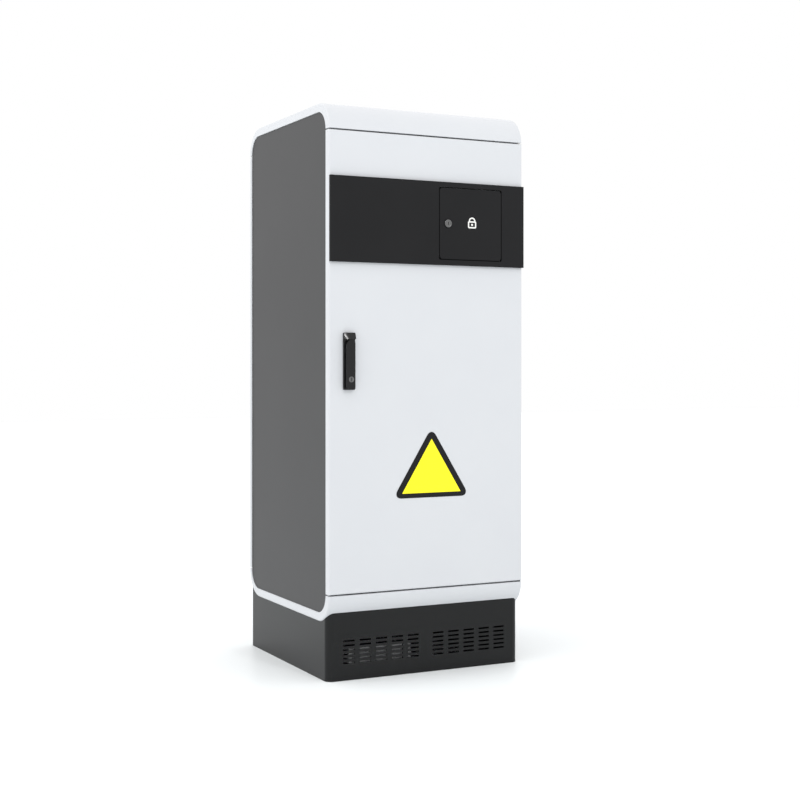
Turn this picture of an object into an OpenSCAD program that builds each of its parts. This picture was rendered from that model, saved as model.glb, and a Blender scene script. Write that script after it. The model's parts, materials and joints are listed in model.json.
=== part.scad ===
// Roadside traffic signal controller cabinet: ventilated plinth, round-cornered shell, hinged door
// with a fascia band and a locked control flap, swing handle, and the equipment inside.
// Millimetres, +Z up, front towards -Y, origin on the ground at the middle of the plinth.

/* [Cabinet] */
// Width over the white shell
cab_w = 500; // [480:5:560]
// Depth from the door face to the rear cover face
cab_d = 500; // [480:5:560]
// Height from the ground to the roof
cab_h = 1300; // [1280:5:1500]
// Radius of the shell's four round corners, seen from the side
corner_r = 65; // [58:1:75]
// Radius of the shell's long outer edges
edge_r = 4; // [3:0.5:6]
// Sheet thickness of the shell, door and frames
sheet = 2; // [1.5:0.1:2.5]
// Width of the white margin around the side panels, and depth of the door's returns
ring_w = 20; // [18:1:26]
// Depth of the rear cover's returns
rear_margin = 14; // [12:1:20]
// Gap between the door's returns and the side panels
side_seam = 2.5; // [2.3:0.1:4]
// Gap above and below the door and the rear cover
door_gap = 3; // [2:0.5:5]

/* [Plinth] */
// Height of the shell's underside above the ground
plinth_h = 130; // [120:5:200]
// How far the plinth's sides stand in from the shell
plinth_side_inset = 2; // [2:0.5:10]
// How far the plinth's front stands in from the shell
plinth_front_inset = 15; // [10:1:25]
// How far the plinth's rear stands in from the shell
plinth_rear_inset = 4; // [3:1:25]
// Radius of the plinth's upright corners
plinth_r = 16; // [8:1:24]
// Plate thickness of the plinth
plinth_t = 3; // [2:0.5:4]
// Width of the plinth's inward flanges
flange_w = 50; // [40:1:60]
// Distance between the ground anchors, side to side
anchor_x = 430; // [420:2:450]
// Distance between the ground anchors, front to rear
anchor_y = 410; // [400:2:420]
// Diameter of the anchor holes
anchor_d = 14; // [11:0.5:18]
// Length of one air slot
slot_w = 28; // [20:1:34]
// Height of one air slot
slot_h = 4; // [3:0.5:6]
// Distance between the columns of air slots
slot_pitch_x = 40.6; // [36:0.2:42]
// Distance between the rows of air slots
slot_pitch_z = 9.8; // [8:0.2:11]
// Distance of each slot group's middle from the cabinet's middle
slot_group_x = 113.5; // [108:0.5:120]
// Height of the top row of air slots
slot_top_z = 88.5; // [80:0.5:95]
// Width of the intake filter cassette
filter_w = 156; // [120:2:180]
// Height of the intake filter cassette
filter_h = 69; // [50:1:80]

/* [Door and frames] */
// Distance of the hinge axis from the door's face and from its edge
hinge_inset = 7; // [6.5:0.1:7.5]
// Diameter of the hinge pins
hinge_pin_d = 6; // [5:0.5:6.5]
// Distance of the frame lip from the cabinet's side
lip_inset = 24; // [24:0.5:28]
// Distance of the frame lip from the door's top and bottom edge
lip_inset_z = 12; // [11:0.5:16]
// Distance of the frame lip's edge from the door's face
lip_setback = 10; // [8:0.5:12]
// Width of the door gasket
gasket_w = 14; // [10:0.5:15]

/* [Fascia band and control flap] */
// Height of the fascia band
band_h = 192; // [186:1:210]
// Distance of the fascia band's top from the roof's top
band_drop = 169; // [140:1:200]
// How far the fascia band stands out from the door
band_t = 9; // [8:0.5:12]
// Wall of the fascia band and the flap
band_wall = 2.5; // [2:0.1:3]
// Width of the control flap
flap_w = 163; // [150:1:170]
// Height of the control flap
flap_h = 164; // [150:1:168]
// Distance of the flap's middle from the cabinet's right side
flap_inset = 144.5; // [138:0.5:150]
// Gap around the flap
flap_gap = 2; // [1.5:0.1:3]
// Corner radius of the flap
flap_r = 8; // [6:0.5:10]
// Diameter of the flap lock's head
lock_d = 18; // [17:0.5:22]
// Distance of the flap lock from the flap's free edge
lock_inset = 21; // [19:0.5:24]
// Depth of the control recess behind the door's face
recess_depth = 44; // [40:1:55]

/* [Handle] */
// Width of the handle's base
handle_w = 27.5; // [24:0.5:30]
// Height of the handle's base
handle_h = 128; // [120:1:140]
// Height of the handle's middle above the shell's middle
handle_rise = 2; // [-20:1:20]
// Distance of the handle's middle from the cabinet's left side
handle_inset = 47; // [45:0.5:52]
// Thickness of the handle's base
handle_base_t = 6; // [5:0.5:7]
// Width of the lever
lever_w = 21.5; // [18:0.5:22]
// Thickness of the lever
lever_t = 9.5; // [9:0.5:12]
// Diameter of the key plug in the lever
key_d = 12.6; // [10:0.2:13]
// Diameter of the handle's spindle
spindle_d = 12; // [10:0.5:13]
// Travel of each latch rod over a quarter turn of the handle
rod_travel = 14; // [12:0.5:15]
// Width of a latch rod
rod_w = 12; // [10:0.5:14]
// Thickness of a latch rod
rod_t = 3; // [2:0.5:3.5]

/* [Equipment] */
// Distance of the uprights' front from the cabinet's middle
rack_front = 100; // [90:1:110]
// Width of the card chassis
chassis_w = 400; // [398:1:406]
// Height of the card chassis
chassis_h = 266; // [255:1:275]
// Height of the chassis above the ground
chassis_z = 805; // [800:1:830]
// Depth of the card chassis
chassis_d = 230; // [200:1:240]
// Width of the power module
power_w = 80; // [70:1:80]
// Width of the processor module
processor_w = 60; // [50:1:60]
// Width of one input module
io_w = 40; // [32:1:40]
// Width of one lamp driver module
lamp_w = 27.5; // [24:0.5:27.5]
// Side of the square fans
fan_size = 120; // [100:1:120]
// Depth of the fans
fan_t = 38; // [32:1:40]
// Distance of each fan from the cabinet's middle
fan_x = 75; // [66:1:90]
// Height of the fans' middle below the roof
fan_drop = 150; // [145:1:170]
// Height of the breaker rail above the ground
rail_z = 715; // [700:1:730]
// Distance between one rail or duct and the next
row_pitch = 79; // [74:0.5:80]

/* [Hidden] */
// Clearance of a running fit, on the radius
run = 0.05;
// Clearance between parts that move past each other
pass = 0.3;
// Clearance of a fixed part in its hole
fit = 0.02;
// Facets of round surfaces
$fn = 64;
// A little over a face, so that a cut runs clean through it
over = 1;

half_w = cab_w / 2;
front_y = -cab_d / 2;
rear_y = cab_d / 2;
shell_h = cab_h - plinth_h;
mid_z = plinth_h + shell_h / 2;
door_z0 = plinth_h + corner_r + door_gap / 2;
door_z1 = cab_h - corner_r - door_gap / 2;
base_edge_z = door_z0 - door_gap;
roof_edge_z = door_z1 + door_gap;
skin_y = front_y + sheet;
door_back_y = front_y + ring_w;
side_front_y = door_back_y + side_seam;
frame_y = side_front_y + 1.5;
rear_frame_y = rear_y - rear_margin;
window_d = cab_d - ring_w - rear_margin;
window_y = (ring_w - rear_margin) / 2;
panel_x = half_w - sheet;
inner_x = panel_x - sheet;
floor_z = plinth_h + sheet;
upright_h = roof_edge_z - 10 - floor_z;
plinth_w = cab_w - 2 * plinth_side_inset;
plinth_d = cab_d - plinth_front_inset - plinth_rear_inset;
plinth_y = (plinth_front_inset - plinth_rear_inset) / 2;
plinth_face_y = front_y + plinth_front_inset;

// Door frame opening and lip
lip_x = half_w - lip_inset;
open_x = lip_x - sheet;
lip_z0 = door_z0 + lip_inset_z;
lip_z1 = door_z1 - lip_inset_z;
lip_y = front_y + lip_setback;
post_d = 36;
hinge_x = half_w - hinge_inset;
hinge_y = front_y + hinge_inset;
bush_r = hinge_pin_d / 2 + 1.6;

// Fascia band, flap, lock and control recess
band_z1 = cab_h - band_drop;
band_z0 = band_z1 - band_h;
band_y = front_y - band_t;
flap_z = (band_z0 + band_z1) / 2;
flap_x = half_w - flap_inset;
flap_x0 = flap_x - flap_w / 2;
flap_x1 = flap_x + flap_w / 2;
flap_z0 = flap_z - flap_h / 2;
flap_z1 = flap_z + flap_h / 2;
flap_axis_x = flap_x1 - 3;
flap_axis_y = band_y + 3.2;
flap_pin_r = 1.5;
lock_x = flap_x0 + lock_inset;
lock_barrel_r = 8;
lock_plug_r = 5.5;
cam_y = front_y + 5;
cut_x0 = flap_x0 + 4;
cut_x1 = flap_x1 - 4;
cut_z0 = flap_z0 + 4;
cut_z1 = flap_z1 - 4;
tray_x0 = cut_x0 - 14;
tray_y = front_y + recess_depth;
button_r = 9;
stem_r = 6;
button_z = flap_z - 26;
selector_z = flap_z + 34;
button_pitch = 44;

// Handle, spindle and latch rods
handle_x = -half_w + handle_inset;
handle_z = mid_z + handle_rise;
handle_z0 = handle_z - handle_h / 2;
handle_z1 = handle_z + handle_h / 2;
base_y = front_y - handle_base_t;
lever_back_y = base_y - 0.5;
lever_y = lever_back_y - lever_t;
pad_h = 16.25;
pivot_z = handle_z1 - pad_h - lever_w / 2;
pivot_y = lever_back_y - 4;
lever_z0 = handle_z0 + 3;
key_z = handle_z0 + 23.5;
disc_y = lip_y + 0.5;
disc_t = 4;
pivot_pin_r = 1.8;
disc_r = 18;
crank_r = rod_travel;
crank_pin_r = 2.5;
upper_rod_y = disc_y + disc_t + 1;
lower_rod_y = upper_rod_y + rod_t + 1;
yoke_h = 20;
upper_rod_x = handle_x - rod_w / 2 - crank_pin_r - 0.5;
lower_rod_x = handle_x;

// Equipment places
rack_y = -rack_front;
rack_x = chassis_w / 2;
ear_x = open_x - 4;
slot_gap = 0.8;
module_y = rack_y - sheet - 0.5;
module_h = chassis_h - 4;
plate_z0 = floor_z + 58;
plate_z1 = chassis_z - 15;
plate_y = rack_y - sheet;
rail_t = 7.5;
rail_h = 35;
duct_z = rail_z - row_pitch;
strip_z = rail_z - 2 * row_pitch;
duct_d = 60;
breaker_y = plate_y - rail_t;
pole_w = 17.8;
fan_z = cab_h - fan_drop;
fan_plate_y = rear_frame_y - 2 * sheet;
fan_back_y = fan_plate_y - fan_t;
fan_bore_r = fan_size / 2 - 3;
gland_plate_x = 300;
gland_plate_y = 240;
gland_r = 13;
gland_bore_r = 9;
bolt_x = cab_w - 76;
bolt_y = cab_d - 2 * corner_r - 40;

// Box between two opposite corners
module box(lo, hi) {
  translate(lo) cube(hi - lo);
}

// Rectangle with round corners, centred
module round_rect(w, h, r) {
  square([w - 2 * r, h], center = true);
  square([w, h - 2 * r], center = true);
  for (x = [-1, 1], y = [-1, 1]) translate([x * (w / 2 - r), y * (h / 2 - r)]) circle(r);
}

// Round rod along Y between two places
module rod_along_y(x, z, r, y0, y1) {
  translate([x, y0, z]) rotate([-90, 0, 0]) cylinder(r = r, h = y1 - y0);
}

// Round rod along X between two places
module rod_along_x(y, z, r, x0, x1) {
  translate([x0, y, z]) rotate([0, 90, 0]) cylinder(r = r, h = x1 - x0);
}

// Outline drawn as width and height, pushed along X
module push_x(x0, x1) {
  translate([x0, 0, 0]) rotate([90, 0, 90]) linear_extrude(x1 - x0) children();
}

// Outline drawn as width and height, pushed along Y
module push_y(y0, y1) {
  translate([0, y1, 0]) rotate([90, 0, 0]) linear_extrude(y1 - y0) children();
}

// Plain prism of the shell's side outline, moved in by an inset
module shell_prism(inset, x0, x1) {
  push_x(x0, x1) translate([0, mid_z])
    round_rect(cab_d - 2 * inset, shell_h - 2 * inset, corner_r - inset);
}

// Lower half of the shell's outer form: two round corners and the flat run between them
module shell_half() {
  z = plinth_h + corner_r;
  for (y = [front_y + corner_r, rear_y - corner_r]) translate([0, y, z]) rotate([0, 90, 0])
    rotate_extrude($fn = 128) intersection() {
      round_rect(2 * corner_r, cab_w, edge_r);
      translate([0, -half_w]) square([corner_r, cab_w]);
    }
  push_y(front_y + corner_r, rear_y - corner_r) intersection() {
    translate([0, z]) round_rect(cab_w, 2 * corner_r, edge_r);
    translate([-half_w, plinth_h]) square([cab_w, corner_r]);
  }
}

// Window in each side of the shell that shows the side panel
module side_window() {
  push_x(-half_w - over, half_w + over) translate([window_y, mid_z])
    round_rect(window_d, shell_h - 2 * ring_w, corner_r - ring_w);
}

// Lower white end of the shell: skin, side flanges and a ledge at the front and the rear
module shell_end() {
  ledge_z = base_edge_z - sheet;
  intersection() {
    difference() {
      shell_half();
      shell_prism(sheet, -panel_x, panel_x);
      side_window();
    }
    box([-half_w, front_y, plinth_h - over], [half_w, rear_y, base_edge_z]);
  }
  difference() {
    box([-inner_x, skin_y - 0.2, ledge_z], [inner_x, frame_y, base_edge_z]);
    translate([hinge_x, hinge_y, ledge_z - over]) cylinder(d = hinge_pin_d + 2 * fit, h = sheet + 2 * over);
  }
  box([-inner_x, rear_frame_y, ledge_z], [inner_x, rear_y - sheet + 0.2, base_edge_z]);
}

// Field of air slots in a front or rear wall
module slot_field(x, z, columns, rows, y0, y1) {
  for (c = [0 : columns - 1], r = [0 : rows - 1])
    translate([x + (c - (columns - 1) / 2) * slot_pitch_x - slot_w / 2, y0,
      z - r * slot_pitch_z - slot_h / 2]) cube([slot_w, y1 - y0, slot_h]);
}

// Outline of the plinth seen from above, drawn in by an inset
module plinth_outline(inset, r) {
  translate([0, plinth_y]) round_rect(plinth_w - 2 * inset, plinth_d - 2 * inset, r);
}

module plinth() {
  wall_top = plinth_h + corner_r;
  color([0.16, 0.16, 0.16]) difference() {
    union() {
      difference() {
        linear_extrude(wall_top) plinth_outline(0, plinth_r);
        translate([0, 0, -over]) linear_extrude(wall_top + 2 * over)
          plinth_outline(plinth_t, plinth_r - plinth_t);
      }
      for (z = [0, plinth_h - plinth_t]) translate([0, 0, z]) linear_extrude(plinth_t) difference() {
        plinth_outline(plinth_t / 2, plinth_r);
        translate([0, plinth_y]) square([plinth_w - 2 * flange_w, plinth_d - 2 * flange_w], center = true);
      }
    }
    shell_prism(0, -cab_w, cab_w);
    for (x = [-1, 1]) slot_field(x * slot_group_x, slot_top_z, 5, 6, plinth_face_y - over,
      plinth_face_y + plinth_t + over);
    for (x = [-1, 1], y = [-1, 1]) {
      translate([x * anchor_x / 2, y * anchor_y / 2, -over]) cylinder(d = anchor_d, h = plinth_t + 2 * over);
      translate([x * bolt_x / 2, y * bolt_y / 2, plinth_h - plinth_t - over])
        cylinder(r = 4 + fit, h = plinth_t + 2 * over);
    }
  }
}

module plinth_bolts() {
  color("silver") for (x = [-1, 1], y = [-1, 1]) translate([x * bolt_x / 2, y * bolt_y / 2, 0]) {
    translate([0, 0, floor_z]) cylinder(r = 7.5, h = 5.3, $fn = 6);
    translate([0, 0, plinth_h - plinth_t - 9]) cylinder(r = 4, h = sheet + plinth_t + 10);
    translate([0, 0, plinth_h - plinth_t - 6.5]) cylinder(r = 7.5, h = 6.5, $fn = 6);
  }
}

module intake_filter() {
  x0 = -slot_group_x - filter_w / 2;
  y0 = front_y + plinth_front_inset + plinth_t + 5;
  rim = 8;
  color([0.55, 0.56, 0.56]) difference() {
    box([x0, y0, plinth_t], [x0 + filter_w, y0 + 14, plinth_t + filter_h]);
    box([x0 + rim, y0 - over, plinth_t + rim], [x0 + filter_w - rim, y0 + 3, plinth_t + filter_h - rim]);
  }
}

module base_tray() {
  color([0.9, 0.91, 0.92]) difference() {
    shell_end();
    box([-gland_plate_x / 2 + 15, -gland_plate_y / 2 + 15, plinth_h - over],
      [gland_plate_x / 2 - 15, gland_plate_y / 2 - 15, floor_z + over]);
    for (x = [-1, 1], y = [-1, 1]) translate([x * bolt_x / 2, y * bolt_y / 2, plinth_h - over])
      cylinder(r = 4 + fit, h = sheet + 2 * over);
  }
}

module roof_cap() {
  color([0.93, 0.94, 0.95]) translate([0, 0, 2 * mid_z]) mirror([0, 0, 1]) shell_end();
}

// Side panel on one side, behind the white margin
module side_panel(side) {
  d = rear_frame_y - side_front_y;
  x0 = side > 0 ? inner_x : -panel_x;
  color([0.38, 0.38, 0.385]) push_x(x0, x0 + sheet) translate([side_front_y + d / 2, mid_z])
    round_rect(d, shell_h - ring_w, corner_r - ring_w + 5);
}

module left_side_panel() {
  side_panel(-1);
}

module right_side_panel() {
  side_panel(1);
}

// Places of the rear cover's screws, four up each side
function screw_places() = [for (x = [-1, 1], k = [0 : 3])
  [x * (lip_x + 10.5), door_z0 + 40 + k * (door_z1 - door_z0 - 80) / 3]];

// Folded pan with round front edges: face at y0, returns back to y1
module pan(x0, x1, y0, y1, z0, z1, r) {
  face = min(y0, y1);
  back = max(y0, y1);
  d = back - face;
  flip = y0 < y1 ? 0 : 1;
  translate([(x0 + x1) / 2, (face + back) / 2, (z0 + z1) / 2]) mirror([0, flip, 0]) difference() {
    intersection() {
      linear_extrude(z1 - z0, center = true) translate([0, d / 2]) round_rect(x1 - x0, 2 * d, r);
      rotate([90, 0, 90]) linear_extrude(x1 - x0, center = true) translate([d / 2, 0])
        round_rect(2 * d, z1 - z0, r);
      cube([x1 - x0, d, z1 - z0], center = true);
    }
    box([-(x1 - x0) / 2 + sheet, -d / 2 + sheet, -(z1 - z0) / 2 + sheet],
      [(x1 - x0) / 2 - sheet, d / 2 + over, (z1 - z0) / 2 - sheet]);
  }
}

module rear_panel() {
  cup_r = 8.5;
  color([0.9, 0.91, 0.92]) difference() {
    union() {
      pan(-half_w, half_w, rear_y, rear_frame_y, door_z0, door_z1, 3);
      for (p = screw_places()) rod_along_y(p[0], p[1], cup_r, rear_frame_y, rear_y - 0.5 * sheet);
    }
    for (p = screw_places()) {
      rod_along_y(p[0], p[1], cup_r - sheet, rear_frame_y + sheet, rear_y + over);
      rod_along_y(p[0], p[1], 3 + fit, rear_frame_y - over, rear_y);
    }
    for (x = [-1, 1]) slot_field(x * fan_x, fan_z + 4.5 * slot_pitch_z, 3, 10,
      rear_y - sheet - over, rear_y + over);
  }
}

module rear_screws() {
  color("silver") for (p = screw_places()) {
    rod_along_y(p[0], p[1], 3, rear_frame_y - 10, rear_frame_y + sheet + 1);
    rod_along_y(p[0], p[1], 5.5, rear_frame_y + sheet, rear_frame_y + sheet + 4);
  }
}

// Ring-shaped frame: plate, lip towards the cover and two side posts
module frame_ring(plate_y, lip_end, post_end) {
  y0 = min(plate_y, post_end);
  plate_far = plate_y + sheet * sign(post_end - plate_y);
  difference() {
    union() {
      box([-inner_x, min(plate_y, plate_far), plinth_h + corner_r - 30],
        [inner_x, max(plate_y, plate_far), cab_h - corner_r + 30]);
      box([-lip_x, min(lip_end, plate_y), lip_z0], [lip_x, max(lip_end, plate_y), lip_z1]);
      for (x = [-inner_x, inner_x - sheet]) box([x, y0, plinth_h + corner_r - 30],
        [x + sheet, max(plate_y, post_end), cab_h - corner_r + 30]);
    }
    box([-open_x, -cab_d, lip_z0 + sheet], [open_x, cab_d, lip_z1 - sheet]);
  }
}

module front_frame() {
  color([0.86, 0.87, 0.88]) frame_ring(frame_y, lip_y, frame_y + post_d);
}

module rear_frame() {
  color([0.86, 0.87, 0.88]) difference() {
    frame_ring(rear_frame_y, rear_frame_y + 8, rear_frame_y - post_d);
    for (p = screw_places()) rod_along_y(p[0], p[1], 3 + fit, rear_frame_y - sheet - over,
      rear_frame_y + over);
  }
}

module hinge_pins() {
  color("silver") translate([hinge_x, hinge_y, 0]) {
    translate([0, 0, door_z1 - 12]) cylinder(d = hinge_pin_d, h = roof_edge_z + sheet - door_z1 + 13);
    translate([0, 0, roof_edge_z + sheet]) cylinder(d = hinge_pin_d + 2, h = 3);
    translate([0, 0, base_edge_z - sheet - 1])
      cylinder(d = hinge_pin_d, h = door_z0 - base_edge_z + sheet + 13);
    translate([0, 0, base_edge_z - sheet - 3]) cylinder(d = hinge_pin_d + 2, h = 3);
  }
}

module uprights() {
  leg = inner_x - rack_x - 6;
  web = 60;
  color([0.72, 0.73, 0.74]) for (m = [0, 1]) mirror([m, 0, 0]) difference() {
    translate([0, 0, floor_z]) linear_extrude(upright_h) {
      translate([rack_x + 6, rack_y]) square([leg, sheet]);
      translate([inner_x - sheet, rack_y]) square([sheet, web]);
      translate([rack_x + 6, rack_y]) square([sheet, 16]);
    }
    for (k = [1 : 20]) rod_along_y(inner_x - leg / 2, floor_z + k * (upright_h - 60) / 20, 3,
      rack_y - over, rack_y + sheet + over);
  }
}

module chassis() {
  z1 = chassis_z + chassis_h;
  back = rack_y + chassis_d;
  color([0.75, 0.76, 0.77]) difference() {
    union() {
      box([-rack_x, rack_y - sheet, chassis_z], [rack_x, back, z1]);
      box([-ear_x, rack_y - sheet, chassis_z], [ear_x, rack_y, z1]);
    }
    box([-rack_x + sheet, rack_y - sheet - over, chassis_z + sheet],
      [rack_x - sheet, back - sheet, z1 - sheet]);
    for (k = [-4 : 4]) box([k * 40 - 12, rack_y + 30, chassis_z - over], [k * 40 + 12, back - 30, z1 + over]);
    for (x = [-1, 1], z = [chassis_z + 38, z1 - 38])
      rod_along_y(x * (ear_x - 7), z, 3.4, rack_y - sheet - over,
      rack_y + over);
  }
}

// Plug-in module: front plate, board, rear connector and an extractor handle at each end
module plug_in(x, w) {
  z0 = chassis_z + (chassis_h - module_h) / 2;
  z1 = z0 + module_h;
  board_x = x + w / 2 - 0.8;
  depth = chassis_d - 30;
  box([x, module_y - 2.5, z0], [x + w, module_y, z1]);
  box([board_x, module_y, z0 + 14], [board_x + 1.6, module_y + depth, z1 - 14]);
  box([board_x - 5, module_y + depth, z0 + 50], [board_x + 6, module_y + depth + 12, z1 - 50]);
  for (z = [z0 + 6, z1 - 22]) box([x + w / 2 - 6, module_y - 14, z], [x + w / 2 + 6, module_y - 2.5, z + 16]);
}

module_x0 = -rack_x + sheet + slot_gap;
processor_x = module_x0 + power_w + slot_gap;
io_x = processor_x + processor_w + slot_gap;
lamp_x = io_x + 2 * (io_w + slot_gap);

module power_module() {
  z = chassis_z + chassis_h / 2;
  color([0.8, 0.81, 0.82]) difference() {
    union() {
      plug_in(module_x0, power_w);
      box([module_x0 + 8, module_y, z - 90], [module_x0 + power_w - 8, module_y + 150, z + 90]);
      box([module_x0 + 22, module_y - 7, z - 78], [module_x0 + power_w - 22, module_y - 2.5, z - 50]);
    }
    for (k = [0 : 7]) box([module_x0 + 16, module_y - 2.5 - over, z + 10 + k * 9],
      [module_x0 + power_w - 16, module_y - 1, z + 14 + k * 9]);
  }
}

module processor_module() {
  z = chassis_z + chassis_h / 2;
  x = processor_x + processor_w / 2;
  color([0.8, 0.81, 0.82]) difference() {
    union() {
      plug_in(processor_x, processor_w);
      box([x - 22, module_y - 6, z + 26], [x + 22, module_y - 2.5, z + 70]);
      for (c = [-1 : 1], r = [0 : 3]) box([x + c * 14 - 5, module_y - 5, z - r * 14],
        [x + c * 14 + 5, module_y - 2.5, z + 10 - r * 14]);
      box([x - 16, module_y - 9, z - 82], [x + 16, module_y - 2.5, z - 66]);
    }
    box([x - 18, module_y - 6 - over, z + 32], [x + 18, module_y - 5, z + 64]);
  }
}

module io_modules() {
  z = chassis_z + chassis_h / 2;
  color([0.8, 0.81, 0.82]) for (k = [0, 1]) {
    x = io_x + k * (io_w + slot_gap);
    plug_in(x, io_w);
    for (r = [0 : 2]) box([x + io_w / 2 - 8, module_y - 8, z - 66 + r * 34],
      [x + io_w / 2 + 8, module_y - 2.5, z - 44 + r * 34]);
  }
}

module lamp_modules() {
  z = chassis_z + chassis_h / 2;
  color([0.8, 0.81, 0.82]) for (k = [0 : 5]) {
    x = lamp_x + k * (lamp_w + slot_gap);
    plug_in(x, lamp_w);
    for (r = [0 : 3]) rod_along_y(x + lamp_w / 2, z - 62 + r * 14, 4.5, module_y - 9, module_y - 2.5);
  }
}

module mounting_plate() {
  color([0.78, 0.79, 0.8]) difference() {
    box([-ear_x, plate_y, plate_z0], [ear_x, rack_y, plate_z1]);
    for (x = [-1, 1], z = [plate_z0 + 20, plate_z1 - 20]) rod_along_y(x * (ear_x - 7), z, 3.4, plate_y - over,
      rack_y + over);
    for (x = [-1, 1]) box([x * 150 - 25, plate_y - over, plate_z0 + 12],
      [x * 150 + 25, rack_y + over, plate_z0 + 28]);
  }
}

// Top-hat rail on the mounting plate
module hat_rail(z) {
  push_x(-rack_x + 6, rack_x - 6) translate([plate_y, z]) {
    translate([-1, -13.5]) square([1, 27]);
    for (m = [-1, 1]) {
      translate([-rail_t, m > 0 ? 12.5 : -13.5]) square([rail_t, 1]);
      translate([-rail_t, m > 0 ? 12.5 : -rail_h / 2]) square([1, 5]);
    }
  }
}

module din_rails() {
  color("silver") for (z = [rail_z, strip_z, strip_z - 2 * row_pitch]) hat_rail(z);
}

breaker_d = 44;
nose_d = 60;
breaker_h = 84;
nose_h = 45;
toggle_r = 6.5;
trunnion_r = 2;
toggle_y = breaker_y - nose_d + 8;
slot_depth = 16;
main_x = -rack_x + 14;
branch_x = main_x + 2 * pole_w + 2;
arrester_x = branch_x + 2 * (pole_w + 1) + 6;
socket_x = arrester_x + 3 * pole_w + 12;

// Rail-mounted body with a stepped nose, clipped on the breaker rail
module rail_body(x, w) {
  box([x, breaker_y - breaker_d, rail_z - breaker_h / 2], [x + w, breaker_y, rail_z + breaker_h / 2]);
  box([x, breaker_y - nose_d, rail_z - nose_h / 2], [x + w, breaker_y - breaker_d, rail_z + nose_h / 2]);
}

// Breaker with the opening that its toggle turns in
module breaker(x, w) {
  difference() {
    rail_body(x, w);
    box([x + 4, breaker_y - nose_d - over, rail_z - 13],
      [x + w - 4, breaker_y - nose_d + slot_depth, rail_z + 13]);
    rod_along_x(toggle_y, rail_z, trunnion_r + run, x + 1.5, x + w - 1.5);
    for (z = [-1, 1]) rod_along_y(x + w / 2, rail_z + z * 33, 3.5, breaker_y - breaker_d - over,
      breaker_y - breaker_d + 8);
  }
}

// Breaker toggle: barrel, trunnions and a finger lever that points up when it is on
module toggle(x, w) {
  rod_along_x(toggle_y, rail_z, toggle_r, x + 4 + pass, x + w - 4 - pass);
  rod_along_x(toggle_y, rail_z, trunnion_r, x + 2, x + w - 2);
  translate([x + w / 2, toggle_y, rail_z]) rotate([-35, 0, 0])
    translate([-(w - 9) / 2, -18, -2.5]) cube([w - 9, 16, 5]);
}

module main_breaker() {
  color([0.92, 0.92, 0.9]) breaker(main_x, 2 * pole_w);
}

module branch_breakers() {
  color([0.92, 0.92, 0.9]) for (k = [0, 1]) breaker(branch_x + k * (pole_w + 1), pole_w);
}

module main_toggle() {
  color([0.15, 0.15, 0.16]) toggle(main_x, 2 * pole_w);
}

module branch_toggle_1() {
  color([0.15, 0.15, 0.16]) toggle(branch_x, pole_w);
}

module branch_toggle_2() {
  color([0.15, 0.15, 0.16]) toggle(branch_x + pole_w + 1, pole_w);
}

module surge_arrester() {
  color([0.75, 0.2, 0.16]) difference() {
    rail_body(arrester_x, 3 * pole_w);
    for (k = [1, 2]) box([arrester_x + k * pole_w - 0.5, breaker_y - nose_d - over, rail_z - breaker_h],
      [arrester_x + k * pole_w + 0.5, breaker_y - breaker_d, rail_z + breaker_h]);
    for (k = [0 : 2]) rod_along_y(arrester_x + (k + 0.5) * pole_w, rail_z, 4, breaker_y - nose_d - over,
      breaker_y - nose_d + 2);
  }
}

module service_socket() {
  w = 45;
  color([0.88, 0.88, 0.86]) difference() {
    box([socket_x, breaker_y - breaker_d, rail_z - breaker_h / 2],
      [socket_x + w, breaker_y, rail_z + breaker_h / 2]);
    rod_along_y(socket_x + w / 2, rail_z, 19, breaker_y - breaker_d - over, breaker_y - breaker_d + 12);
    for (x = [-1, 1]) rod_along_y(socket_x + w / 2 + x * 9.5, rail_z, 2.6, breaker_y - breaker_d,
      breaker_y - breaker_d + 30);
  }
}

// Barrier terminal strip: one moulding with ribs between the ways and a clamp screw on each way
module terminal_strip(z) {
  pitch = 16;
  count = floor((2 * rack_x - 40) / pitch);
  x0 = -count * pitch / 2;
  box([x0, breaker_y - 18, z - 22], [-x0, breaker_y, z + 22]);
  for (k = [0 : count]) {
    push_x(x0 + k * pitch - 1.5, x0 + k * pitch + 1.5) translate([breaker_y - 17, z])
      polygon([[0, -22], [-9, -22], [-17, -9], [-17, 9], [-9, 22], [0, 22]]);
    if (k < count) for (m = [-1, 1])
      rod_along_y(x0 + (k + 0.5) * pitch, z + m * 12, 4, breaker_y - 23, breaker_y - 17);
  }
}

module terminal_strips() {
  color([0.62, 0.64, 0.62]) for (z = [strip_z, strip_z - 2 * row_pitch]) terminal_strip(z);
}

module earth_bar() {
  z = plate_z0 + 56;
  color([0.78, 0.6, 0.25]) difference() {
    union() {
      box([-150, plate_y - 18, z - 6], [150, plate_y - 12, z + 6]);
      for (x = [-130, 130]) rod_along_y(x, z, 6, plate_y - 12, plate_y);
      for (k = [-7 : 7]) rod_along_y(k * 16, z, 4, plate_y - 21, plate_y - 18);
    }
    for (k = [-7 : 7]) box([k * 16 - 3, plate_y - 21 - over, z - 0.5], [k * 16 + 3, plate_y - 20, z + 0.5]);
  }
}

// Slotted wiring duct across the plate
module duct(z) {
  x0 = -rack_x + 8;
  h = 40;
  wall = 2;
  pitch = 16;
  count = floor(-2 * x0 / pitch) - 1;
  difference() {
    box([x0, plate_y - duct_d, z - h / 2], [-x0, plate_y, z + h / 2]);
    box([x0 - over, plate_y - duct_d + wall, z - h / 2 + wall],
      [-x0 + over, plate_y - wall, z + h / 2 - wall]);
    for (k = [0 : count]) box([x0 + 10 + k * pitch, plate_y - duct_d + 8, z - h],
      [x0 + 16 + k * pitch, plate_y - 14, z + h]);
  }
}

module wiring_ducts() {
  color([0.5, 0.52, 0.54]) for (z = [duct_z, duct_z - 2 * row_pitch, duct_z - 4 * row_pitch]) duct(z);
}

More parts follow.
